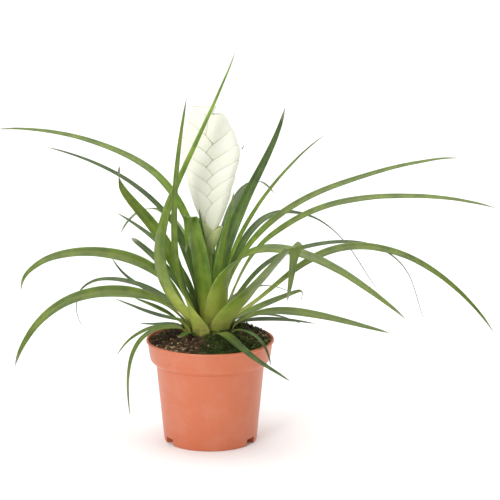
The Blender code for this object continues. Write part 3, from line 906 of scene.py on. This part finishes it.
def tissue_tree():
    """A thin sheet of plant tissue made solid: smoothed, waved, veined, sharp at the margins."""
    inputs = (
        ("Levels", "NodeSocketInt", 2),
        ("Veins", "NodeSocketFloat", 9.0),
        ("Vein height", "NodeSocketFloat", 0.00005),
        ("Waviness", "NodeSocketFloat", 0.0003),
        ("Seed", "NodeSocketFloat", 0.0),
        ("Material", "NodeSocketMaterial", None),
    )
    grow = Growing("living tissue sheet", inputs)
    start = grow.start
    links = {0: start["Geometry"], 1: start["Levels"]}
    smooth = grow.add("GeometryNodeSubdivisionSurface", links, boundary_smooth="PRESERVE_CORNERS")
    across = grow.carried("across")
    place = grow.add("GeometryNodeInputPosition").outputs[0]
    ripple = grow.noise(grow.vector("ADD", {0: place, 1: start["Seed"]}), 34.0, 1.0)
    ripple = grow.math("MULTIPLY", grow.math("SUBTRACT", ripple, 0.5), start["Waviness"])
    waved = grow.lifted(smooth.outputs[0], ripple)
    edge = grow.math("SUBTRACT", 1.0, grow.math("MULTIPLY", across, across))
    lens = grow.math("POWER", grow.math("MAXIMUM", edge, 0.0), 0.6)
    half = grow.math("MULTIPLY", grow.math("MULTIPLY", grow.carried("thick"), lens), 0.5)
    count = grow.math("MULTIPLY", start["Veins"], math.pi)
    vein = grow.math("COSINE", grow.math("MULTIPLY", across, count))
    vein = grow.math("MULTIPLY", grow.math("MULTIPLY", vein, start["Vein height"]), edge)
    height = grow.math("ADD", half, vein)
    upper = grow.lifted(waved, height)
    lower = grow.lifted(waved, grow.math("MULTIPLY", height, -1.0))
    lower = grow.add("GeometryNodeFlipFaces", {0: lower}).outputs[0]
    joined = grow.add("GeometryNodeJoinGeometry", {0: lower})
    grow.put(upper, joined.inputs[0])
    links = {0: joined.outputs[0], "Distance": 0.000004}
    merged = grow.add("GeometryNodeMergeByDistance", links).outputs[0]
    links = {0: merged, "Shade Smooth": True}
    return grow.finish(grow.add("GeometryNodeSetShadeSmooth", links).outputs[0])


tissue = tissue_tree()


def make_leaf_group():
    """Leaf colour: pale olive sheath, green blade that dulls outwards, painted highlight down the
    channel, dry tip, veins.
    """
    shade, start, end = new_group(
        "leaf tissue",
        (
            ("Blade", "NodeSocketColor", (0.15, 0.30, 0.05, 1.0)),
            ("Deep", "NodeSocketColor", (0.05, 0.12, 0.03, 1.0)),
            ("Sheath", "NodeSocketColor", (0.42, 0.48, 0.16, 1.0)),
            ("Dry", "NodeSocketColor", (0.34, 0.30, 0.24, 1.0)),
            ("Where", "NodeSocketVector", None),
            ("Along", "NodeSocketFloat", 0.5),
            ("Across", "NodeSocketFloat", 0.0),
            ("Run", "NodeSocketVector", None),
        ),
        (("Colour", "NodeSocketColor"), ("Height", "NodeSocketFloat"), ("Dryness", "NodeSocketFloat")),
    )
    where, along, across, sheath = (start[name] for name in ("Where", "Along", "Across", "Sheath"))
    mottled = shade.ramp(shade.noise(where, 90.0, 4.0), 0.30, 0.72)
    blade = shade.mix(mottled, start["Deep"], start["Blade"])
    streaks = shade.noise(shade.stretched(start["Run"], (26.0, 55.0, 1.0)), 1.6, 3.0, 0.6)
    streaky = shade.math("MULTIPLY", shade.ramp(streaks, 0.5, 0.8), 0.42)
    blade = shade.mix(streaky, blade, sheath)
    from_margin = shade.math("ABSOLUTE", across)
    # Paler down the middle of the blade: a painted highlight where the leaf's channel catches the
    # light.
    middle = shade.math("SUBTRACT", 1.0, from_margin, clamp=True)
    channel_highlight = shade.math("MULTIPLY", shade.ramp(middle, 0.55, 1.0), 0.22)
    blade = shade.mix(channel_highlight, blade, sheath)
    level = shade.vector("MULTIPLY", {0: where, 1: (1.0, 1.0, 0.0)})
    outward = shade.add("ShaderNodeVectorMath", {0: level}, operation="LENGTH").outputs["Value"]
    blade = shade.mix(shade.ramp(outward, 0.016, 0.060), blade, (0.66, 0.585, 0.66), "MULTIPLY")
    uneven = shade.math("MULTIPLY", shade.math("SUBTRACT", shade.noise(where, 120.0), 0.5), 0.16)
    reach = shade.math("ADD", along, uneven)
    colour = shade.mix(shade.ramp(reach, 0.02, 0.30), sheath, blade)
    foot = shade.math("SUBTRACT", 1.0, shade.ramp(reach, 0.0, 0.10))
    blotches = shade.ramp(shade.noise(where, 260.0, 3.0), 0.42, 0.65)
    blush = shade.math("MULTIPLY", shade.math("MULTIPLY", foot, 0.55), blotches)
    colour = shade.mix(blush, colour, (0.30, 0.17, 0.09))
    dryness = shade.ramp(shade.math("ADD", along, shade.math("MULTIPLY", uneven, 0.25)), 0.93, 0.985)
    rim = shade.math("MULTIPLY", shade.ramp(from_margin, 0.88, 1.0), 0.30)
    colour = shade.mix(rim, colour, (0.36, 0.38, 0.18))
    lines = shade.math("SINE", shade.math("MULTIPLY", across, 46.0))
    shade.put(shade.mix(dryness, colour, start["Dry"]), end["Colour"])
    shade.put(shade.math("ADD", shade.math("MULTIPLY", lines, 0.5), streaks), end["Height"])
    shade.put(dryness, end["Dryness"])
    return shade.tree


leaf_group = make_leaf_group()


def tissue_look(shade, group, colours):
    """Place a tissue group, with the places on the sheet that both kinds of group read."""
    links = {
        "Where": shade.where(),
        "Along": shade.carried("along"),
        "Across": shade.carried("across"),
        **colours,
    }
    return shade.add("ShaderNodeGroup", links, node_tree=group).outputs


def leaf_material(name, blade, deep, sheath, rough):
    """Waxy green tissue that lets a little light through."""
    material, shade, skin = new_material(name)
    run = shade.add("ShaderNodeUVMap", uv_map="UVMap").outputs[0]
    colours = {"Blade": blade, "Deep": deep, "Sheath": sheath, "Run": run}
    look = tissue_look(shade, leaf_group, colours)
    dull = shade.math("MULTIPLY_ADD", look["Dryness"], 0.35, rough)
    coat(shade, skin, look["Colour"], dull, look["Height"], 0.35, 0.0002)
    skin["Subsurface Weight"].default_value = 0.15
    skin["Subsurface Radius"].default_value = (0.6, 1.0, 0.2)
    skin["Subsurface Scale"].default_value = 0.0015
    skin["Specular IOR Level"].default_value = 0.42
    return material


# The dark look is a darker copy of the leaf green: painted shade for the leaves that lie in the
# plant's shadow.
LEAF_LOOKS = {
    "leaf_bright": leaf_material(
        "leaf_green", (0.220, 0.350, 0.036), (0.108, 0.205, 0.017), (0.46, 0.51, 0.105), 0.38
    ),
    "leaf_dark": leaf_material(
        "leaf_green_painted_shade", (0.115, 0.210, 0.034), (0.048, 0.105, 0.018), (0.29, 0.37, 0.080), 0.42
    ),
}


def grow_tissue(node, name, sheet, looks, values):
    """Grow a node's sheet into a solid in its slot's material, and dress it."""
    material = looks[slot_of[node]]
    piece = grown(name, sheet, tissue, {**values, "Material": material})
    bpy.data.objects.remove(sheet, do_unlink=True)
    dress(piece, material, node)


for number, node in enumerate(nodes_named("leaf_")):
    values = {
        "Levels": LEAF_LEVELS,
        "Veins": 4.0,
        "Vein height": 0.00003,
        "Waviness": 0.0011,
        "Seed": 0.37 * number,
    }
    grow_tissue(node, node + "_blade", strap_sheet(node), LEAF_LOOKS, values)

# Stem and stalk.  The short fibrous stem is all but hidden; out of its middle comes one
# smooth yellow-green flower stalk that runs up inside the paddle.
STALK_TURNS = 28
STALK_STEPS = 60
stalk_low, stalk_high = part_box("stalk")
STALK_RADIUS = 0.5 * (stalk_high[0] - stalk_low[0])


def streaked(name, dark, light, stretch, detail, rough, strength, distance):
    """Tissue with fibres running up it."""
    material, shade, skin = new_material(name)
    streaks = shade.noise(shade.stretched(shade.where(), stretch), 1.0, detail)
    coat(shade, skin, shade.mix(streaks, dark, light), rough, streaks, strength, distance)
    return material


stem_fibre = streaked(
    "stem_fibre",
    (0.10, 0.08, 0.035),
    (0.34, 0.33, 0.14),
    stretch=(900.0, 900.0, 90.0),
    detail=4.0,
    rough=0.8,
    strength=0.6,
    distance=0.0004,
)
stem_node = frame["nodes"]["stem"]
stem_node.data.materials.clear()
stem_node.data.materials.append(stem_fibre)


def make_stalk():
    """A slightly ribbed rod, a little swollen at each joint where a scale clasps it."""
    bottom, top = stalk_low[2], stalk_high[2]
    profile = [(0.0, bottom)]
    for step in range(STALK_STEPS + 1):
        share = step / STALK_STEPS
        slim = 1.0 - 0.5 * max(0.0, share - 0.47) / 0.53
        swell = 0.965 + 0.035 * max(0.0, math.cos(share * 44.0)) ** 6
        profile.append((STALK_RADIUS * slim * swell, bottom + (top - bottom) * share))
    profile.append((0.0, top))
    return thrown("flower_stalk", profile, STALK_TURNS)


stalk_green = streaked(
    "stalk_green",
    (0.30, 0.38, 0.10),
    (0.52, 0.58, 0.24),
    stretch=(1400.0, 1400.0, 40.0),
    detail=3.0,
    rough=0.42,
    strength=0.3,
    distance=0.0002,
)
dress(make_stalk(), stalk_green, "stalk")

# Flower paddle.  Two ranks of folded scales, left and right in turn up the stalk, each one
# waxy, cream and boat-shaped, its keel at the paddle's edge and its foot inside the last.
BRACT_WALL = 0.00025
BRACT_AXIS = STALK_RADIUS + 0.0003
BRACT_SPRING = BRACT_AXIS + 0.0005
# From one scale to the next: how far up, and how far out to the front or back; and how far
# in a keel's foot is for each scale of its own side that lies over it
BRACT_PITCH = 0.0054
BRACT_STEP = 0.0005
BRACT_NEST = 0.00042
# How far the margins reach past the stalk, as a share of the scale's length; how far they
# stop short of the tip, lowest scale first; and how far they are pressed in
BRACT_OVERLAP = 0.044
BRACT_TIPS = [0.0018] * 11 + [0.0050, 0.0140, 0.0190]
BRACT_PRESS = 0.0003
CLOSING_LENGTH = 0.040
BRACT_ROWS = 22
BRACT_LANES = 21
PADDLE_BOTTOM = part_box("bract_01")[0][2]
PADDLE_TOP = PADDLE_BOTTOM + 0.1085
PADDLE_SHOULDER = PADDLE_BOTTOM + 0.070
PADDLE_FOOT = 0.0041
WIDEST = {1.0: 0.0220, -1.0: 0.0198}
BLUNTNESS = {1.0: 1.45, -1.0: 3.2}


def paddle_edge(height, hand):
    """Half width of the paddle at a height: widening, then blunt left and sloping right."""
    if height < PADDLE_SHOULDER:
        climb = (height - PADDLE_BOTTOM) / (PADDLE_SHOULDER - PADDLE_BOTTOM)
        return PADDLE_FOOT + (WIDEST[hand] - PADDLE_FOOT) * climb
    climb = (height - PADDLE_SHOULDER) / (PADDLE_TOP - PADDLE_SHOULDER)
    return WIDEST[hand] * (1.0 - climb ** BLUNTNESS[hand]) ** (1.0 / BLUNTNESS[hand])


def closing(height):
    """How far the flaps stay apart at a height: they draw together towards the top."""
    drawing = eased((height - PADDLE_TOP + CLOSING_LENGTH) / (CLOSING_LENGTH - BRACT_PITCH))
    shutting = eased((height - PADDLE_TOP + BRACT_PITCH) / BRACT_PITCH)
    return 1.0 - 0.42 * drawing - 0.48 * shutting


def bract_sheet(node, number):
    """A folded sheet in the space of its CAD solid: margin, round the keel, margin."""
    low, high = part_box(node)
    hand = 1.0 if high[0] > -low[0] else -1.0
    length = high[2] - low[2]
    inset = 0.5 * BRACT_WALL
    grid = []
    for row in range(BRACT_ROWS + 1):
        share = row / BRACT_ROWS
        height = low[2] + length * share
        nested = BRACT_NEST * length * (1.0 - share) / (2.0 * BRACT_PITCH)
        reach = max(0.0, paddle_edge(height, hand) - nested - BRACT_SPRING)
        keel = BRACT_SPRING + reach * (1.0 - (1.0 - share) ** 3.4)
        margin = -BRACT_AXIS - BRACT_OVERLAP * length * math.sin(math.pi * share)
        margin += (keel - BRACT_TIPS[number] - margin) * max(0.0, share - 0.45) ** 1.7 / 0.55**1.7
        depth = BRACT_AXIS + BRACT_STEP * length * share / BRACT_PITCH
        depth *= closing(height)
        thick = BRACT_WALL if 0 < row < BRACT_ROWS else 0.0
        line = []
        for lane in range(BRACT_LANES):
            turn = 2.0 * lane / (BRACT_LANES - 1) - 1.0
            from_keel = abs(turn) ** 1.5 * (keel - margin)
            sideways = keel - inset - max(0.0, from_keel - inset)
            rise = depth * (1.0 - (1.0 - min(1.0, from_keel / (1.1 * depth))) ** 2) - inset
            rise -= BRACT_PRESS * max(0.0, abs(turn) - 0.7) / 0.3
            place = (hand * sideways, math.copysign(max(0.0, rise), turn), height)
            line.append((place, share, turn, thick))
        grid.append(line)
    return woven(node, grid, length)


def make_bract_group():
    """Bract colour: a body colour, greener at the foot and keel, with fine lengthwise veins."""
    shade, start, end = new_group(
        "bract tissue",
        (
            ("Body", "NodeSocketColor", (0.9, 0.88, 0.72, 1.0)),
            ("Foot", "NodeSocketColor", (0.7, 0.72, 0.4, 1.0)),
            ("Where", "NodeSocketVector", None),
            ("Along", "NodeSocketFloat", 0.5),
            ("Across", "NodeSocketFloat", 0.0),
        ),
        (("Colour", "NodeSocketColor"), ("Height", "NodeSocketFloat")),
    )
    across, foot = start["Across"], start["Foot"]
    soft = shade.ramp(shade.noise(start["Where"], 70.0, 3.0), 0.3, 0.75)
    colour = shade.mix(shade.math("MULTIPLY", soft, 0.22), start["Body"], foot)
    low_down = shade.math("SUBTRACT", 1.0, shade.ramp(start["Along"], 0.1, 0.75))
    colour = shade.mix(shade.math("MULTIPLY", low_down, 0.65), colour, foot)
    keel = shade.math("SUBTRACT", 1.0, shade.math("ABSOLUTE", across), clamp=True)
    edge = shade.math("MULTIPLY", shade.ramp(keel, 0.86, 1.0), 0.22)
    lines = shade.math("SINE", shade.math("MULTIPLY", across, 62.0))
    shade.put(shade.mix(edge, colour, foot), end["Colour"])
    shade.put(lines, end["Height"])
    return shade.tree


bract_group = make_bract_group()


def bract_material(name, body, foot):
    material, shade, skin = new_material(name)
    look = tissue_look(shade, bract_group, {"Body": body, "Foot": foot})
    coat(shade, skin, look["Colour"], 0.46, look["Height"], 0.14, 0.0001)
    return material


BRACT_LOOKS = {
    "bract_cream": bract_material("bract_cream", (0.97, 0.965, 0.85), (0.92, 0.93, 0.66)),
    "bract_green": bract_material("bract_green", (0.66, 0.71, 0.33), (0.38, 0.50, 0.13)),
}

for number, node in enumerate(nodes_named("bract_")):
    values = {
        "Levels": 1,
        "Veins": 14.0,
        "Vein height": 0.00001,
        "Waviness": 0.0,
        "Seed": 1.3 * number,
    }
    grow_tissue(node, node + "_scale", bract_sheet(node, number), BRACT_LOOKS, values)

# Withered petal.  The last of a violet flower, dried to a curled thread at the paddle's
# right edge.
PETAL_STEPS = 14
PETAL_WIDTH = 0.00055
petal_low, petal_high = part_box("petal")


def make_petal():
    """A twisted strip of tissue from a flat foot to a curled point."""
    centre = 0.5 * (petal_low[0] + petal_high[0])
    span = 0.5 * (petal_high[0] - petal_low[0])
    bm = bmesh.new()
    rings = []
    for step in range(PETAL_STEPS + 1):
        share = step / PETAL_STEPS
        middle = Vector(
            (
                centre - 0.55 * span + 0.9 * span * math.sin(2.6 * share),
                0.0002 * math.sin(5.0 * share),
                petal_low[2] + (petal_high[2] - petal_low[2]) * (0.02 + 0.94 * share),
            )
        )
        wide = PETAL_WIDTH * (1.0 - 0.75 * share)
        turn = 1.8 * share
        side = Vector((math.cos(turn), math.sin(turn), 0.0)) * wide
        face = Vector((-math.sin(turn), math.cos(turn), 0.0)) * (0.3 * wide)
        ring = []
        for corner in range(8):
            angle = math.tau * corner / 8.0
            ring.append(bm.verts.new(middle + side * math.cos(angle) + face * math.sin(angle)))
        rings.append(ring)
    return close_tube("withered_petal", bm, rings)


petal_violet = crumb_material(
    "withered_violet", (0.26, 0.17, 0.34), (0.10, 0.06, 0.13), 900.0, rough=0.7
)
dress(make_petal(), petal_violet, "petal")

# Studio.  A plain pale floor under broad soft light from above and the left.
floor_mesh = bpy.data.meshes.new("studio_floor")
floor_mesh.from_pydata([(-6, -6, 0), (6, -6, 0), (6, 6, 0), (-6, 6, 0)], [], [(0, 1, 2, 3)])
floor = link("studio_floor", floor_mesh)
floor_material, _, floor_skin = new_material("studio_floor")
floor_skin["Base Color"].default_value = (0.93, 0.93, 0.925, 1.0)
floor_skin["Roughness"].default_value = 0.9
floor_mesh.materials.append(floor_material)


def soft_box(name, place, target, size, power):
    """A square softbox aimed at a point."""
    lamp = bpy.data.lights.new(name, "AREA")
    lamp.shape = "SQUARE"
    lamp.size = size
    lamp.energy = power
    holder = bpy.data.objects.new(name, lamp)
    holder.location = place
    holder.rotation_euler = (Vector(place) - Vector(target)).to_track_quat("Z", "Y").to_euler()
    bpy.context.scene.collection.objects.link(holder)


soft_box("overhead", (0.0, 1.2, 3.4), (0.0, 1.2, 0.0), 6.0, 230.0)
soft_box("key", (-0.9, -1.6, 1.1), (0.0, 0.0, 0.13), 0.7, 15.5)

world = bpy.data.worlds.new("studio")
world.use_nodes = True
world.node_tree.nodes["Background"].inputs[0].default_value = (1.0, 1.0, 1.0, 1.0)
world.node_tree.nodes["Background"].inputs[1].default_value = 0.36
bpy.context.scene.world = world
bpy.context.scene.view_settings.view_transform = "Standard"
